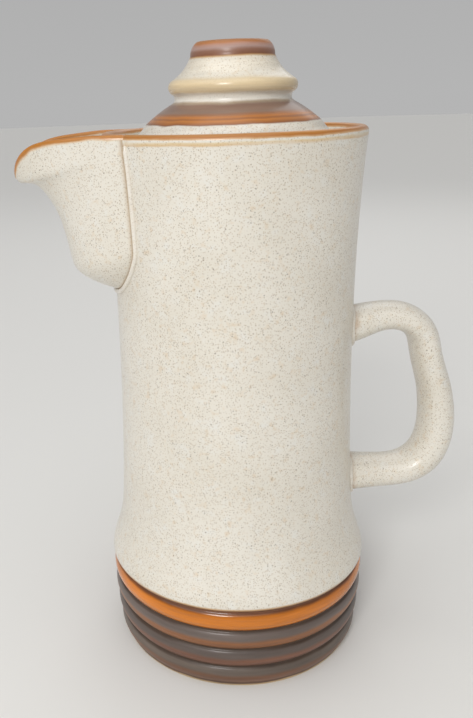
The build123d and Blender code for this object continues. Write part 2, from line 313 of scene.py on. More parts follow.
def in_mm(tree, place):
    """The place's height in millimetres, wandering 0.7 mm each way as a brushed band does."""
    split = add(tree, "ShaderNodeSeparateXYZ", [("Vector", place)])
    # One wave of the brush's edge is about 14 mm long.
    wander = add(tree, "ShaderNodeTexNoise", [("Vector", place)], Scale=1 / (14.3 * MM), Detail=3.0)
    shift = add(tree, "ShaderNodeMath", [(0, wander.outputs["Fac"])], operation="MULTIPLY_ADD")
    shift.inputs[1].default_value, shift.inputs[2].default_value = 1.4, -0.7
    links = [(0, split.outputs["Z"]), (2, shift.outputs[0])]
    scaled = add(tree, "ShaderNodeMath", links, operation="MULTIPLY_ADD")
    scaled.inputs[1].default_value = 1 / MM
    return scaled.outputs[0]


def cream(tree, place):
    """Oatmeal glaze: a milky cream with iron specks that bleed through, and thin ochre or bluish clouds."""
    # Where the glaze pooled a little thicker it is whiter, over patches of about 40 mm.
    pooled = add(tree, "ShaderNodeTexNoise", [("Vector", place)], Scale=1 / (38.5 * MM), Detail=3.0)
    base = add(
        tree,
        "ShaderNodeValToRGB",
        [("Fac", pooled.outputs["Fac"])],
        stops=[(0.3, "#DDD7CA"), (0.65, "#E6E1D6")],
    ).outputs["Color"]
    # Bluish and ochre clouds: size in mm, what part of the pattern shows, colour and strength.
    for size, start, end, colour, strength in (
        (5.56, 0.56, 0.74, "#E6E7E4", 0.40),
        (3.03, 0.58, 0.76, "#CFAE7C", 0.34),
    ):
        noise = add(tree, "ShaderNodeTexNoise", [("Vector", place)], Scale=1 / (size * MM), Detail=2.0)
        part = add(
            tree,
            "ShaderNodeMapRange",
            [("Value", noise.outputs["Fac"])],
            From_Min=start,
            From_Max=end,
            To_Max=strength,
        )
        base = add(
            tree, "ShaderNodeMixRGB", [("Fac", part.outputs[0]), ("Color1", base)], Color2=paint(colour)
        ).outputs[0]
    # Specks: spacing in mm, radius in mm, colour, strength, and the share of places that stay empty.
    # Real specks are 0.3 to 0.8 mm across; the finest are drawn at 0.5 mm so that they show.
    for spacing, radius, colour, strength, empty in (
        (0.82, 0.25, "#AF9877", 0.55, 0.0),
        (1.0, 0.26, "#8F7960", 0.55, 0.10),
        (1.8, 0.30, "#6E5A46", 0.65, 0.35),
    ):
        cells = add(tree, "ShaderNodeTexVoronoi", [("Vector", place)], Scale=1 / (spacing * MM))
        near = add(
            tree,
            "ShaderNodeMapRange",
            [("Value", cells.outputs["Distance"])],
            From_Min=radius / spacing * 0.6,
            From_Max=radius / spacing * 1.25,
            To_Min=strength,
            To_Max=0.0,
        )
        lot = add(tree, "ShaderNodeSeparateColor", [("Color", cells.outputs["Color"])])
        chosen = add(
            tree, "ShaderNodeMapRange", [("Value", lot.outputs[0])], From_Min=empty, From_Max=empty + 0.45
        )
        both = add(
            tree, "ShaderNodeMath", [(0, near.outputs[0]), (1, chosen.outputs[0])], operation="MULTIPLY"
        )
        base = add(
            tree, "ShaderNodeMixRGB", [("Fac", both.outputs[0]), ("Color1", base)], Color2=paint(colour)
        ).outputs[0]
    return base


def banded(tree, under, along, low, high, stops):
    """Brushed bands over the colour under them: stops are (mm, colour, how much it covers)."""
    share = add(tree, "ShaderNodeMapRange", [("Value", along)], From_Min=low, From_Max=high)
    ramp = add(
        tree,
        "ShaderNodeValToRGB",
        [("Fac", share.outputs[0])],
        stops=[((mm - low) / (high - low), colour, cover) for mm, colour, cover in stops],
    )
    return add(
        tree,
        "ShaderNodeMixRGB",
        [("Fac", ramp.outputs["Alpha"]), ("Color1", under), ("Color2", ramp.outputs["Color"])],
    ).outputs[0]


def mottled(tree, place, colour, size, low, high):
    """The same colour, lighter and darker in patches of a size in mm, or in streaks if place is squeezed."""
    noise = add(
        tree, "ShaderNodeTexNoise", [("Vector", place)], Scale=1 / (size * MM), Detail=4.0, Roughness=0.6
    )
    gain = add(
        tree,
        "ShaderNodeMapRange",
        [("Value", noise.outputs["Fac"])],
        From_Min=0.3,
        From_Max=0.7,
        To_Min=low,
        To_Max=high,
    )
    links = [("Color1", colour), ("Color2", gain.outputs[0])]
    return add(tree, "ShaderNodeMixRGB", links, blend_type="MULTIPLY", Fac=1.0).outputs[0]


def flattened(tree, place):
    """The place squeezed so that a pattern runs in level streaks, 13 times as long as they are high."""
    return add(tree, "ShaderNodeMapping", [("Vector", place)], Scale=(0.12, 0.12, 1.6)).outputs[0]


def rise(tree, value, stops):
    """A number that goes from one level to another: stops are (value, level)."""
    low, high = stops[0][0], stops[-1][0]
    share = add(tree, "ShaderNodeMapRange", [("Value", value)], From_Min=low, From_Max=high)
    return add(
        tree,
        "ShaderNodeValToRGB",
        [("Fac", share.outputs[0])],
        stops=[((at - low) / (high - low), (level, level, level, 1.0)) for at, level in stops],
    ).outputs["Color"]


def body_glaze(tree, place):
    """Speckled cream over a foot of iron-brown ridges and one glossy orange ring, with an orange rim."""
    height = in_mm(tree, place)
    colour = cream(tree, place)
    rust, plum, groove = "#8E5A32", "#6A5D56", "#45301F"
    ring_low, ring_high = FOOT - GROOVE_HEIGHT - RING_HEIGHT, FOOT - GROOVE_HEIGHT
    stops = [(0.0, "#C9AE86", 1.0), (0.7, "#C9AE86", 1.0), (1.4, "#5C4030", 1.0)]
    bottom = EDGE_HEIGHT
    for low_colour, high_colour in (("#7A5238", "#675A50"), ("#764C36", "#5E514A"), (rust, plum)):
        stops += [
            (bottom + 0.8, low_colour, 1.0),
            (bottom + 4.0, low_colour, 1.0),
            (bottom + 5.6, high_colour, 1.0),
            (bottom + RIDGE_HEIGHT - 0.6, high_colour, 1.0),
            (bottom + RIDGE_HEIGHT + 0.4, groove, 1.0),
            (bottom + RIDGE_HEIGHT + GROOVE_HEIGHT - 0.4, groove, 1.0),
        ]
        bottom += RIDGE_HEIGHT + GROOVE_HEIGHT
    stops += [
        (ring_low + 0.3, "#B0641A", 1.0),
        (ring_low + 1.4, "#D97E16", 1.0),
        (ring_high - 1.0, "#D57A16", 1.0),
        (ring_high + 0.2, "#7A4A2C", 1.0),
        (FOOT + 0.6, "#7C5236", 1.0),
        (FOOT + 1.6, "#C79A5E", 0.9),
        (FOOT + 2.6, "#DDD5C3", 0.0),
    ]
    streaks = flattened(tree, place)
    painted = banded(tree, colour, height, 0.0, 60.0, stops)
    foot = mottled(tree, streaks, painted, 7.69, 0.62, 1.16)
    in_foot = rise(tree, height, [(FOOT + 1.0, 1.0), (FOOT + 2.4, 0.0)])
    colour = add(
        tree, "ShaderNodeMixRGB", [("Fac", in_foot), ("Color1", painted), ("Color2", foot)]
    ).outputs[0]
    # Under the rim the glaze runs thin in a ragged ochre line; the rim itself breaks to orange.
    ragged = add(tree, "ShaderNodeTexNoise", [("Vector", streaks)], Scale=1 / (5.26 * MM), Detail=4.0)
    patchy = rise(tree, ragged.outputs["Fac"], [(0.40, 0.0), (0.58, 1.0)])
    line = banded(
        tree,
        colour,
        height,
        RIM - 12.0,
        RIM + 2.0,
        [
            (RIM - 4.6, "#DDD5C3", 0.0),
            (RIM - 3.9, "#CFA76C", 0.75),
            (RIM - 3.0, "#D6B983", 0.7),
            (RIM - 2.3, "#DDD5C3", 0.0),
        ],
    )
    colour = add(
        tree, "ShaderNodeMixRGB", [("Fac", patchy), ("Color1", colour), ("Color2", line)]
    ).outputs[0]
    colour = banded(
        tree,
        colour,
        height,
        RIM - 6.0,
        RIM + 2.0,
        [
            (RIM - 2.2, "#DDD5C3", 0.0),
            (RIM - 1.7, "#C48F4C", 0.8),
            (RIM - 1.0, "#AC6C2A", 1.0),
            (RIM, "#BC8038", 1.0),
        ],
    )
    rough = rise(
        tree,
        height,
        [
            (0.0, 0.75),
            (2.0, 0.5),
            (ring_low - 0.6, 0.45),
            (ring_low + 0.6, 0.16),
            (ring_high, 0.18),
            (FOOT + 2.0, 0.34),
        ],
    )
    return colour, rough


def spout_glaze(tree, place):
    """The body's cream, breaking to orange on the spout's edge, with brown painted shade in the seam's
    crease.
    """
    colour = cream(tree, place)
    # Brown painted shade in the crease where the spout meets the wall, fading out about 2 mm from it.
    seam = add(tree, "ShaderNodeAttribute", attribute_name="seam").outputs["Fac"]
    colour = banded(
        tree,
        colour,
        seam,
        0.0,
        8.0,
        [(0.5, "#A98C68", 0.7), (0.9, "#BCA588", 0.4), (1.9, "#DDD5C3", 0.0)],
    )
    edge = add(tree, "ShaderNodeAttribute", attribute_name="edge").outputs["Fac"]
    # The orange breaks unevenly over about 7 mm.
    wander = add(tree, "ShaderNodeTexNoise", [("Vector", place)], Scale=1 / (7.14 * MM), Detail=3.0)
    shift = rise(tree, wander.outputs["Fac"], [(0.3, 0.0), (0.7, 0.35)])
    uneven = add(tree, "ShaderNodeMath", [(0, edge), (1, shift)], operation="ADD")
    colour = banded(
        tree,
        colour,
        uneven.outputs[0],
        -1.0,
        3.0,
        [
            (-1.0, "#C58634", 1.0),
            (0.2, "#BF7C2A", 1.0),
            (0.7, "#B27024", 1.0),
            (1.0, "#B87C38", 0.95),
            (1.35, "#D2A872", 0.55),
            (1.8, "#DDD5C3", 0.0),
        ],
    )
    rough = rise(tree, edge, [(0.5, 0.22), (1.6, 0.34)])
    return colour, rough


def handle_glaze(tree, place):
    """The body's cream, with brown painted shade at the handle's roots, where it meets the wall."""
    colour = cream(tree, place)
    root = add(tree, "ShaderNodeAttribute", attribute_name="root").outputs["Fac"]
    # The painted shade's edge wanders in patches of about 6 mm.
    noise = add(tree, "ShaderNodeTexNoise", [("Vector", place)], Scale=1 / (6.25 * MM), Detail=3.0)
    shift = rise(tree, noise.outputs["Fac"], [(0.3, 0.0), (0.7, 3.0)])
    uneven = add(tree, "ShaderNodeMath", [(0, root), (1, shift)], operation="ADD")
    # Brown painted shade in the corner between the handle and the wall, fading out about 6 mm from it.
    colour = banded(
        tree,
        colour,
        uneven.outputs[0],
        0.0,
        12.0,
        [(0.0, "#A68460", 0.75), (2.6, "#B89670", 0.5), (6.0, "#DDD5C3", 0.0)],
    )
    rough = rise(tree, root, [(0.0, 0.42), (4.0, 0.34)])
    return colour, rough


def slip_glaze(tree, place):
    """A pale bead of slip under a full, slightly fatter coat of the cream."""
    colour = cream(tree, place)
    pale = paint("#EDE6DA")
    return add(tree, "ShaderNodeMixRGB", [("Color1", colour)], Fac=0.45, Color2=pale).outputs[0], 0.3


def lid_glaze(tree, place):
    """The body's cream with a honey ring, a plum-brown and orange band, and a rusty knob top."""
    height = in_mm(tree, place)
    colour = cream(tree, place)
    streaks = flattened(tree, place)
    step = RIM + 3.0
    colour = banded(
        tree,
        colour,
        height,
        RIM - 6.0,
        KNOB_TOP + 2.0,
        [
            (step - 1.0, "#DDD5C3", 0.0),
            (step - 0.4, "#8B5A38", 1.0),
            (step + 0.2, "#A86830", 1.0),
            (step + 1.0, "#C07A36", 1.0),
            (step + 1.6, "#9A6030", 1.0),
            (step + 2.3, "#BE7838", 1.0),
            (step + 3.2, "#9C6A46", 1.0),
            (step + 4.0, "#8E7464", 1.0),
            (step + 6.6, "#86695A", 1.0),
            (step + 7.6, "#A8937A", 0.9),
            # The neck is whitish glaze, painted lighter still as painted light to offset the shade the honey
            # ring casts on it.
            (step + 8.4, "#EFEBE1", 0.8),
            (step + 10.8, "#EFEBE1", 0.7),
            (step + 11.6, "#E2D0AC", 0.9),
            (step + 13.6, "#DCC69E", 0.95),
            (step + 16.0, "#DEC8A0", 0.85),
            (step + 17.4, "#E2D6BC", 0.3),
            (KNOB_TOP - 6.9, "#DDCDB0", 0.25),
            (KNOB_TOP - 6.1, "#B98A4E", 0.9),
            (KNOB_TOP - 5.6, "#86563C", 1.0),
            (KNOB_TOP - 4.0, "#946A56", 1.0),
            (KNOB_TOP - 3.0, "#AC8E84", 1.0),
            (KNOB_TOP - 2.0, "#B08878", 1.0),
            (KNOB_TOP - 1.1, "#B2723E", 1.0),
            (KNOB_TOP, "#A8703E", 1.0),
        ],
    )
    colour = mottled(tree, streaks, colour, 5.26, 0.84, 1.12)
    rough = rise(
        tree,
        height,
        [
            (RIM, 0.32),
            (step, 0.26),
            (step + 8.0, 0.3),
            (step + 12.0, 0.27),
            (KNOB_TOP - 7.0, 0.32),
            (KNOB_TOP - 5.0, 0.42),
            (KNOB_TOP, 0.42),
        ],
    )
    return colour, rough


def lug_glaze(tree, place):
    """A thin coat of the cream that lets the buff clay show."""
    colour = cream(tree, place)
    buff = paint("#C8AC84")
    return add(tree, "ShaderNodeMixRGB", [("Color1", colour)], Fac=0.4, Color2=buff).outputs[0], 0.5


# ---- the body ----

def foot_radius(height):
    """The foot swells from the base to the flare along a parabola."""
    share = 1 - (1 - height / FOOT) ** 2
    return BASE_RADIUS + (FLARE - 0.65 - BASE_RADIUS) * share


def wall_line(inset, count):
    """The waisted wall from the flare up to the rim, moved in by inset."""
    places = [
        (FLARE, FLARE_HEIGHT),
        (FLARE - 3.3, FLARE_HEIGHT + 11.6),
        (FLARE - 7.2, FLARE_HEIGHT + 37.5),
        (WAIST_RADIUS, WAIST),
        (RIM_RADIUS, RIM - RIM_WALL / 2),
    ]
    return smooth(places, count, ends=((-0.05, 1), (0.09, 1))) - (inset, 0)


SKIN = wall_line(0, 600)


def skin_radius(height):
    """How far the wall's outside is from the axis at a height."""
    return np.interp(height, SKIN[:, 1], SKIN[:, 0])


def foot_line():
    """The outside of the foot from the bare edge up to the flare."""
    bottom = EDGE_HEIGHT
    start = (foot_radius(bottom) - GROOVE_DEPTH / 2, bottom)
    low = (foot_radius(0) - GROOVE_DEPTH / 2, 0)
    runs = [eased([(BASE_RADIUS - 8.0, 0), low, start], 0.6)]
    for height, bulge in BANDS:
        top = bottom + height
        end = (foot_radius(top) - GROOVE_DEPTH / 2, top)
        runs.append(arc(start, (foot_radius((bottom + top) / 2) + bulge, (bottom + top) / 2), end, 13))
        bottom = top + GROOVE_HEIGHT
        start = (foot_radius(bottom) - GROOVE_DEPTH / 2, bottom)
        middle = top + GROOVE_HEIGHT / 2
        runs.append(arc(end, (foot_radius(middle) - GROOVE_DEPTH, middle), start, 9))
    runs.append(arc(start, (FLARE - 0.5, FOOT + 0.77), (FLARE, FLARE_HEIGHT), 9))
    return joined(*runs)[1:]


def body_profile():
    """Once round the body's wall: underside, foot, outside, rim, gallery, inside and floor."""
    recess = BASE_RADIUS - 6.0
    lip = RIM - RIM_WALL / 2
    shelf = RIM - 20.5
    inside = wall_line(WALL, 80)[::-1]
    inside = inside[inside[:, 1] < shelf]
    return joined(
        eased([(0, 3.0), (recess - 1.5, 3.0), (recess + 0.38, 0), tuple(foot_line()[0])], 0.8),
        foot_line(),
        wall_line(0, 90),
        arc((RIM_RADIUS, lip), (RIM_RADIUS - RIM_WALL / 2, RIM), (RIM_INSIDE, lip), 15),
        eased(
            [
                (RIM_INSIDE, lip),
                (RIM_INSIDE, LEDGE),
                (GALLERY_INSIDE, LEDGE),
                (GALLERY_INSIDE, LEDGE - GALLERY_THICKNESS + 1.5),
                (GALLERY_INSIDE + 1.5, LEDGE - GALLERY_THICKNESS),
                tuple(inside[0]),
            ],
            1.0,
        ),
        inside,
        eased([tuple(inside[-1]), (recess, FLOOR + 12.0), (recess, FLOOR), (0, FLOOR)], 11.0, 9),
    )


def make_body(material):
    """The thrown body, with the pour window and the lid's notch cut through it."""
    body = turned("thrown_body", body_profile(), material)
    # The window is an upright rectangle with round corners. The small extra turn keeps every place off
    # its middle lines, where the sign that picks a side would be zero.
    turns = np.linspace(0, 2 * math.pi, 48, endpoint=False) + 0.01
    straight_width, straight_height = WINDOW_HALF_WIDTH - WINDOW_CORNER, WINDOW_HALF_HEIGHT - WINDOW_CORNER
    window = [
        (
            math.copysign(straight_width, math.cos(turn)) + WINDOW_CORNER * math.cos(turn),
            math.copysign(straight_height, math.sin(turn)) + WINDOW_CORNER * math.sin(turn) + WINDOW_MIDDLE,
        )
        for turn in turns
    ]
    outer, inner = -RIM_RADIUS - 8.0, -RIM_RADIUS + 12.0
    cut(body, prism("window_cutter", window, outer, inner, lambda u, v, depth: (depth, u, v)))
    notch = [
        (NOTCH_BACK, -NOTCH_HALF_WIDTH),
        (NOTCH_REACH, -NOTCH_HALF_WIDTH),
        (NOTCH_REACH, NOTCH_HALF_WIDTH),
        (NOTCH_BACK, NOTCH_HALF_WIDTH),
    ]
    cut(body, prism("notch_cutter", notch, NOTCH_LOW, NOTCH_HIGH, lambda u, v, depth: (u, v, depth)))
    return body


# ---- the spout ----

def keel_line():
    """The spout's outline on the plane of symmetry: round the lip and down to the seam."""
    reach, drop, lip = SPOUT_REACH, SPOUT_DROP, LIP_DROP
    shares = [
        (reach + 5.6, 1.0),
        (reach + 3.0, 0.55 * lip),
        (reach + 0.6, lip - 4.5),
        (reach - 1.8, lip - 0.2),
        (reach - 7.0, lip + 0.3),
        (0.67 * reach, lip + 4.8),
        (0.555 * reach, lip + 12.4),
        (0.485 * reach, lip + 21.3),
        (0.44 * reach, lip + 30.2),
        (0.39 * reach, drop - 9.4),
        (0.26 * reach, drop - 4.9),
        (0.073 * reach, drop - 1.7),
        (-0.13 * reach, drop + 0.6),
        (-0.32 * reach, drop + 2.0),
    ]
    return np.array([(RIM_RADIUS + out, RIM - down) for out, down in shares])


def moved_in(line, inset):
    """Each place of a keel line moved square to the line, into the spout."""
    padded = np.concatenate([line[:1], line, line[-1:]])
    along = padded[2:] - padded[:-2]
    along /= np.linalg.norm(along, axis=1)[:, None]
    return line + np.stack([along[:, 1], -along[:, 0]], axis=1) * inset


def channel_line():
    """The inside of the keel: thin towards the lip, full thickness below, with no drip edge."""
    keel = keel_line()
    return np.concatenate([moved_in(keel, LIP_WALL)[:2], moved_in(keel, SPOUT_WALL)[4:]])


def pouch(line, narrowing, share, turn):
    """Places on a pouch under a keel line: share runs down the keel, turn round to each side."""
    nose = smooth(line, np.ravel(share)).reshape(share.shape + (2,))
    back_x = -0.72 * RIM_RADIUS
    back_z = RIM + 16.0 - (SPOUT_DROP + 25.0) * share
    closing = np.maximum(0, (RIM - back_z - 0.68 * SPOUT_DROP) / (0.45 * SPOUT_DROP)) ** 1.6
    half = SPOUT_HALF_WIDTH * (1 - 0.085 * share - 0.66 * closing) - narrowing
    fullness = 1.6 + 0.6 * share
    sine, cosine = np.sin(turn * math.pi / 2), np.cos(turn * math.pi / 2)
    soft = 0.07  # rounds the keel, where the plain formula has a crease
    sideways = sine * ((sine**2 + soft) / (1 + soft)) ** (1 / fullness - 0.5)
    forward = np.maximum(cosine, 1e-9) ** (2 / fullness)
    return np.stack([back_x + (-nose[..., 0] - back_x) * forward, half * sideways,
                     back_z + (nose[..., 1] - back_z) * forward], axis=-1)


def sheer_line():
    """The spout's top edge seen from the side: level at the body, curling down at the lip."""
    shares = [(0.05, 0.0), (0.41, 0.06), (0.775, 0.235), (0.92, 0.49), (0.985, 0.75), (1.0, 0.89)]
    line = smooth([(-RIM_RADIUS - out * SPOUT_REACH, RIM - down * LIP_DROP) for out, down in shares], 200)
    return line[::-1]


SHEER = sheer_line()


def below_edge(x, z):
    """How far a place is under the spout's top edge, square to it."""
    height = np.interp(x, SHEER[:, 0], SHEER[:, 1])
    slope = np.interp(x, SHEER[:, 0], np.gradient(SHEER[:, 1], SHEER[:, 0]))
    return (height - z) / np.sqrt(1 + slope**2)


def outside_wall(places):
    """How far places stand out from the body's wall."""
    return np.hypot(places[..., 0], places[..., 1]) - skin_radius(places[..., 2])


def side_turns(line, narrowing, depth, shares):
    """For each share, the turn at which the pouch goes depth into the body's wall."""
    turns = np.linspace(0, 1, 500)
    share, turn = np.meshgrid(shares, turns, indexing="ij")
    clear = outside_wall(pouch(line, narrowing, share, turn)) + depth
    sides = []
    for row in clear:
        inside = np.nonzero(row < 0)[0]
        i = inside[0] if len(inside) else len(turns) - 1
        passed = row[i - 1] / (row[i - 1] - row[i])
        sides.append(0.0 if i == 0 else turns[i - 1] + (turns[i] - turns[i - 1]) * passed)
    return np.array(sides)


def bottom_share(line, depth):
    """The share at which the keel itself goes depth into the wall."""
    shares = np.linspace(0.5, 1, 4000)
    keel = pouch(line, 0.0, shares, 0 * shares)
    return np.interp(0, -(outside_wall(keel) + depth), shares)


def crest(columns):
    """How high the round edge stands over each column of the grid: lower in the middle, at the lip."""
    return 2.0 - 0.6 * (1 - np.abs(np.linspace(-1, 1, columns))) ** 0.5


def pouch_grid(line, narrowing, depth, rows, columns):
    """The part of a pouch between the spout's top edge and the wall, row by row from the edge down."""
    end = bottom_share(line, depth)
    shares = end * (1 - (1 - np.linspace(0, 1, 500)) ** 2)
    sides = side_turns(line, narrowing, depth, shares)
    across = np.linspace(-1, 1, columns)
    places = pouch(line, narrowing, shares[:, None] + 0 * across, sides[:, None] * across)
    under = below_edge(places[..., 0], places[..., 2]) - crest(columns)
    starts = []
    for column in under.T:
        i = np.nonzero(column > 0)[0][0]
        passed = column[i - 1] / (column[i - 1] - column[i])
        starts.append(shares[i - 1] + (shares[i] - shares[i - 1]) * passed)
    down = 1 - (1 - np.linspace(0, 1, rows)) ** 1.7
    share = np.array(starts) + (end - np.array(starts)) * down[:, None]
    return pouch(line, narrowing, share, np.interp(share, shares, sides) * across)


def make_spout(material):
    """The pulled spout: outside, inside, a full-round edge between them, and hidden edges in the wall."""
    rows, columns, round_steps = 90, 121, 9
    outer = pouch_grid(keel_line(), 0.0, EMBED, rows, columns)
    inner = pouch_grid(channel_line(), SPOUT_WALL, EMBED, rows, columns)
    middle, reach = (outer[0] + inner[0]) / 2, (outer[0] - inner[0]) / 2
    slope = np.interp(middle[:, 0], SHEER[:, 0], np.gradient(SHEER[:, 1], SHEER[:, 0]))
    up = np.stack([-slope, 0 * slope, 1 + 0 * slope], axis=1) / np.sqrt(1 + slope**2)[:, None]
    turns = np.linspace(0, math.pi, round_steps + 2)[1:-1, None, None]
    rounding = middle + reach * np.cos(turns) + (up * crest(columns)[:, None]) * np.sin(turns)
    # One grid goes down the inside, reversed, over the edge and down the outside.
    grid = np.concatenate([inner[::-1], rounding[::-1], outer])
    faces = grid_faces(len(grid), columns)
    # The two long sides of that grid are closed by strips inside the body's wall.
    for column in (0, columns - 1):
        for row in range(rows + round_steps // 2):
            low, high = row, len(grid) - 1 - row
            if low + 1 < high - 1:
                faces.append([i * columns + column for i in (low, low + 1, high - 1, high)])
            elif low + 1 == high - 1:
                faces.append([i * columns + column for i in (low, low + 1, high)])
    spout = finished("pulled_spout", grid.reshape(-1, 3), faces, material)
    places = np.array([vertex.co for vertex in spout.data.vertices]) / MM
    depth = below_edge(places[:, 0], places[:, 2])
    out = (-places[:, 0] - RIM_RADIUS) / SPOUT_REACH
    width = np.interp(out, [0, 0.25, 0.6, 0.85, 1.0], [1.5, 1.5, 1.8, 2.0, 1.2])
    normals = np.array([vertex.normal for vertex in spout.data.vertices])
    inside = normals[:, 1] * places[:, 1] < 0
    for attribute, values in (("edge", depth / width), ("seam", outside_wall(places) + 99 * inside)):
        spout.data.attributes.new(attribute, "FLOAT", "POINT").data.foreach_set("value", values)
    return spout


def make_spout_seam(material):
    """The bead of slip along the spout's seam, on the body's side of it."""
    radius, grown, sunk = 1.1, -1.1, -0.15  # it follows the spout grown by its own radius
    line = moved_in(keel_line(), grown)
    end = bottom_share(line, sunk)
    shares = end * (1 - (1 - np.linspace(0, 1, 160)) ** 2)
    sides = side_turns(line, grown, sunk, shares)
    side = pouch(line, grown, shares, sides)
    side = side[side[:, 2] < RIM - 3.2]
    count = 260
    path = smooth(np.concatenate([side * (1, -1, 1), side[-2::-1]])[::3], count)
    ends = np.minimum(np.arange(count), np.arange(count)[::-1])
    rng = np.random.default_rng(7)
    lumps = np.convolve(rng.normal(0, 1, count + 20), np.ones(21) / 21, mode="valid")
    radii = (radius + 0.22 * lumps) * np.sqrt(np.clip(ends / 4, 0, 1))
    out = path * (1, 1, 0)
    return bead("spout_seam_bead", path, radii, out, material)


# ---- the handle ----

def handle_stations():
    """The handle's centre line on the plane of symmetry, with its section's thickness and width."""
    grip = HANDLE_HIGH.x / MM - 8.5
    gap = HANDLE_TOP - HANDLE_BOTTOM
    inside = WAIST_RADIUS - WALL
    return [
        (inside - 4.0, HANDLE_TOP - 5.0, 17.2, ROOT_WIDTH + 2.0),
        (WAIST_RADIUS + 3.0, HANDLE_TOP - 2.6, 15.2, ROOT_WIDTH),
        (WAIST_RADIUS + 14.5, HANDLE_TOP, 12.8, HANDLE_WIDTH),
        (grip - 19.0, HANDLE_TOP - 1.0, 12.8, HANDLE_WIDTH),
        (grip - 11.2, HANDLE_TOP - 7.0, 13.4, HANDLE_WIDTH),
        (grip - 7.2, HANDLE_TOP - 0.24 * gap, 13.9, HANDLE_WIDTH),
        (grip - 2.6, HANDLE_TOP - 0.43 * gap, 14.9, HANDLE_WIDTH),
        (grip, HANDLE_TOP - 0.62 * gap, 16.4, HANDLE_WIDTH),
        (grip - 0.6, HANDLE_TOP - 0.78 * gap, 16.8, HANDLE_WIDTH),
        (grip - 5.6, HANDLE_BOTTOM + 6.8, 16.4, HANDLE_WIDTH),
        (grip - 14.5, HANDLE_BOTTOM + 1.4, 15.0, HANDLE_WIDTH),
        (WAIST_RADIUS + 16.0, HANDLE_BOTTOM, 15.0, HANDLE_WIDTH),
        (WAIST_RADIUS + 5.0, HANDLE_BOTTOM, 15.8, ROOT_WIDTH),
        (inside - 4.0, HANDLE_BOTTOM, 16.8, ROOT_WIDTH + 2.0),
    ]


def handle_rings(grown, sides):
    """The handle's surface as rings of places, from inside the wall at the top round to the bottom."""
    line = smooth(handle_stations(), 320)
    centre = np.stack([line[:, 0], 0 * line[:, 0], line[:, 1]], axis=1)
    along = np.gradient(centre, axis=0)
    along /= np.linalg.norm(along, axis=1)[:, None]
    outward = np.stack([along[:, 2], 0 * along[:, 0], -along[:, 0]], axis=1)
    angles = np.linspace(0, 2 * math.pi, sides, endpoint=False)
    squareness = 2 / 2.15  # an oval a little fuller than an ellipse
    cosine, sine = (np.sign(c) * np.abs(c) ** squareness for c in (np.cos(angles), np.sin(angles)))
    thick = (line[:, 2] / 2 + grown)[:, None, None] * outward[:, None] * sine[None, :, None]
    wide = (line[:, 3] / 2 + grown)[:, None, None] * np.array([0, 1, 0]) * cosine[None, :, None]
    return centre, centre[:, None] + thick + wide


def make_handle(material):
    """The pulled handle, its two ends hidden in the body's wall."""
    sides = 64
    centre, rings = handle_rings(0.0, sides)
    half = len(centre) // 2
    upper_end, lower_end = 51.0, 53.3  # how far from the axis each end stops, inside the wall
    first = np.nonzero(centre[:half, 0] > upper_end)[0][0]
    last = half + np.nonzero(centre[half:, 0] > lower_end)[0][-1]
    rings, centre = rings[first:last + 1], centre[first:last + 1]
    caps = [np.repeat(centre[i:i + 1, None], sides, axis=1) for i in (0, -1)]
    grid = np.concatenate([caps[0][0:1], rings, caps[1]])
    faces = grid_faces(len(grid), sides, False, True)
    handle = finished("pulled_handle", grid.reshape(-1, 3), faces, material)
    places = np.array([vertex.co for vertex in handle.data.vertices]) / MM
    handle.data.attributes.new("root", "FLOAT", "POINT").data.foreach_set("value", outside_wall(places))
    return handle


def make_root_bead(name, upper, material):
    """The bead of slip in the corner all round one root of the handle."""
    sides = 72
    grown, clearance = 0.35, 0.25  # the bead's middle stands off the handle and off the wall
    _, rings = handle_rings(grown, sides)
    half = len(rings) // 2
    rings = rings[:half] if upper else rings[half:][::-1]
    clear = outside_wall(rings) - clearance
    path = []
    for side in range(sides):
        i = np.nonzero(clear[:, side] > 0)[0][0]
        share = clear[i - 1, side] / (clear[i - 1, side] - clear[i, side])
        path.append(rings[i - 1, side] * (1 - share) + rings[i, side] * share)
    path = np.array(path)
    angles = np.linspace(0, 2 * math.pi, sides, endpoint=False)
    radii = 1.0 + 0.12 * np.sin(3 * angles + 0.7) + 0.08 * np.sin(7 * angles)
    return bead(name, path, radii, path * (1, 1, 0), material, looped=True)


# ---- the lid ----

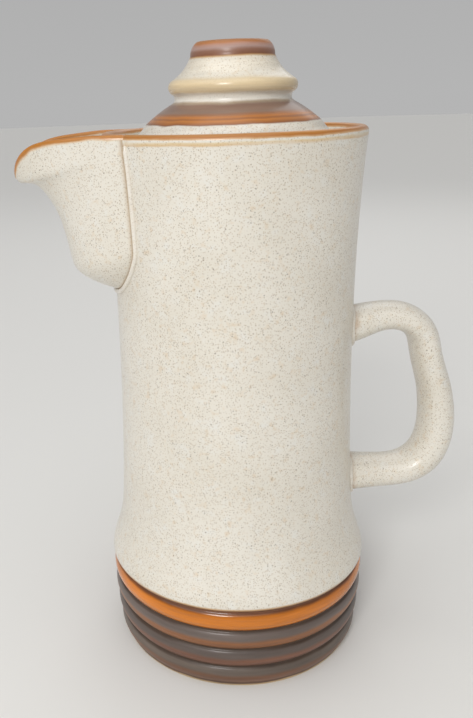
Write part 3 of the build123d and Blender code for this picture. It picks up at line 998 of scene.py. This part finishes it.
def lid_profile():
    """Once round the lid's wall: knob, ring, neck, dome, seat, flange and hollow."""
    seat = LEDGE + SEAT_GAP
    knob_edge = (17.6, RIM + 28.4)
    knob_rim = (14.8, KNOB_TOP)
    ring_top, ring_side, ring_under = (25.9, RIM + 19.2), (27.2, RIM + 17.0), (25.4, RIM + 13.8)
    neck_side, neck_foot = (24.7, RIM + 12.0), (25.9, RIM + 10.3)
    step_top, dome_top = (36.6, RIM + 3.0), (37.8, RIM + 1.8)
    edge_top, edge_side = (LID_EDGE - 1.8, seat + 4.4), (LID_EDGE, seat + 2.6)
    slope = (
        knob_edge[0] + 0.38 * (ring_top[0] - knob_edge[0]),
        knob_edge[1] - 0.54 * (knob_edge[1] - ring_top[1]),
    )
    shoulder = (
        neck_foot[0] + 0.45 * (step_top[0] - neck_foot[0]),
        step_top[1] + 0.6 * (neck_foot[1] - step_top[1]),
    )
    hollow = smooth(
        [(FLANGE_INSIDE, RIM - 7.6), (27.7, RIM + 3.0), (20.1, RIM + 13.5), (11.6, RIM + 24.9)], 30
    )
    return joined(
        arc((0, KNOB_TOP - 0.8), (7.4, KNOB_TOP - 0.58), knob_rim, 9),
        arc(knob_rim, (16.9, KNOB_TOP - 2.4), knob_edge, 9),
        smooth([knob_edge, slope, ring_top], 16),
        arc(ring_top, ring_side, ring_under, 15),
        arc(ring_under, neck_side, neck_foot, 11),
        smooth([neck_foot, shoulder, step_top], 16),
        eased([step_top, dome_top], 0.4),
        smooth([dome_top, (39.2, RIM), edge_top], 14),
        arc(edge_top, (LID_EDGE - 0.5, seat + 3.9), edge_side, 7),
        eased(
            [
                edge_side,
                (LID_EDGE, seat),
                (FLANGE_RADIUS, seat),
                (FLANGE_RADIUS, FLANGE_BOTTOM),
                (FLANGE_INSIDE, FLANGE_BOTTOM),
                (FLANGE_INSIDE, RIM - 7.6),
            ],
            0.9,
        ),
        hollow,
        np.array([hollow[-1], (0, hollow[-1][1])]),
    )


# ---- building ----

# Wheel-thrown stoneware, dipped in oatmeal glaze: a satin cream, freckled all over, above a dark foot.
body_material = fired("oatmeal_glazed_stoneware_body", body_glaze, 0.16, 0.25, 0.05)
# The same dipped glaze on the luted spout: its edge shows as a bright orange line.
spout_material = fired("oatmeal_glazed_stoneware_spout", spout_glaze, 0.16, 0.25, 0.05)
# The same dipped glaze on the luted handle, with warm brown painted shade at its roots in the corner with
# the wall.
handle_material = fired("oatmeal_glazed_stoneware_handle", handle_glaze, 0.16, 0.25, 0.05)
# Trailed slip under the glaze: a paler, rounder line in each seam.
slip_material = fired("glazed_slip_bead", slip_glaze, 0.16, 0.3, 0.08)
# Wheel-thrown stoneware with brushed bands of colour: honey, plum brown, orange and rust, lightly streaked.
lid_material = fired("banded_glazed_stoneware_lid", lid_glaze, 0.2, 0.16, 0.08)
# Wiped glaze on the lug: a drier, buffer look than the rest.
lug_material = fired("thinly_glazed_stoneware_lug", lug_glaze, 0.3, 0.1, 0.06)

PIECES = [
    (make_body(body_material), "pot", "pot_body", "body_glaze"),
    (make_spout(spout_material), "pot", "spout", "spout_glaze"),
    (make_handle(handle_material), "pot", "handle", "handle_glaze"),
    (make_spout_seam(slip_material), "pot", "spout_seam_slip", "seam_glaze"),
    (make_root_bead("upper_root_bead", True, slip_material), "pot", "handle_upper_seam_slip", "seam_glaze"),
    (make_root_bead("lower_root_bead", False, slip_material), "pot", "handle_lower_seam_slip", "seam_glaze"),
    (turned("thrown_lid", lid_profile(), lid_material), "lid", "lid", "lid_glaze"),
]
for piece, body, node, slot in PIECES:
    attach(piece, body)
    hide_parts(node)

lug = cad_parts["lid_lug"]
lug.data.materials.clear()
lug.data.materials.append(lug_material)


# ---- the table, the light and the camera ----

def make_floor():
    """A plain pale studio table, wide enough to fill every view."""
    steps, reach = 96, 9000.0
    angles = np.linspace(0, 2 * math.pi, steps, endpoint=False)
    places = [(reach * math.cos(angle), reach * math.sin(angle), 0.0) for angle in angles]
    floor = finished("pale_table", places, [tuple(range(steps))], plain)


# Matt paint: an even light grey that takes a soft shadow.
plain = bpy.data.materials.new("pale_matt_paint")
plain.use_nodes = True
plain.node_tree.nodes["Principled BSDF"].inputs["Base Color"].default_value = paint("#E4E3E0")
plain.node_tree.nodes["Principled BSDF"].inputs["Roughness"].default_value = 0.8
make_floor()

world = bpy.data.worlds.new("studio")
world.use_nodes = True
sky = world.node_tree
direction = add(sky, "ShaderNodeTexCoord").outputs["Generated"]
upward = add(sky, "ShaderNodeSeparateXYZ", [("Vector", direction)]).outputs["Z"]
glow = rise(sky, upward, [(0.0, 0.46), (0.15, 0.43), (0.45, 0.30), (1.0, 0.30)])
sky.links.new(glow, sky.nodes["Background"].inputs["Color"])
bpy.context.scene.world = world
bpy.context.scene.view_settings.view_transform = "Standard"


def make_light(name, place, target, width, watts, colour):
    """A square soft light at a place in metres, aimed at a target."""
    lamp = bpy.data.lights.new(name, "AREA")
    lamp.size, lamp.energy, lamp.color = width, watts, paint(colour)[:3]
    light = bpy.data.objects.new(name, lamp)
    light.location = place
    light.rotation_euler = (Vector(target) - Vector(place)).to_track_quat("-Z", "Y").to_euler()
    bpy.context.scene.collection.objects.link(light)


middle = (0, 0, 0.14)
make_light("key_softbox", (-0.5, -1.3, 0.95), middle, 0.42, 10.8, "#FFFEFC")
make_light("back_softbox", (0.3, 1.2, 1.2), middle, 1.0, 3.0, "#FFFFFF")

# A wide soft light from above, which brightens the lid and the tops of the ridges.
overhead = bpy.data.lights.new("overhead_diffuser", "SUN")
overhead.energy, overhead.angle = 1.15, math.radians(70)
overhead_light = bpy.data.objects.new("overhead_diffuser", overhead)
overhead_light.rotation_euler = (math.radians(15), math.radians(-12), 0)
bpy.context.scene.collection.objects.link(overhead_light)

# The camera stands in front of the pot, a little above its rim and turned down.
camera_data = bpy.data.cameras.new("camera")
camera_data.lens = 38.58
camera_data.shift_x, camera_data.shift_y = 0.0783, 0.0343
camera = bpy.data.objects.new("camera", camera_data)
forward = Vector((0.01061, 0.93746, -0.34792)).normalized()
level = forward.cross(Vector((0, 0, 1))).normalized()
roll = Matrix.Rotation(math.radians(1.97), 3, forward)
right = roll @ level
up = right.cross(forward)
camera.matrix_world = Matrix.Translation(Vector((-30.3, -346.5, 258.7)) * MM) @ Matrix(
    (right, up, -forward)
).transposed().to_4x4()
bpy.context.scene.collection.objects.link(camera)
bpy.context.scene.camera = camera
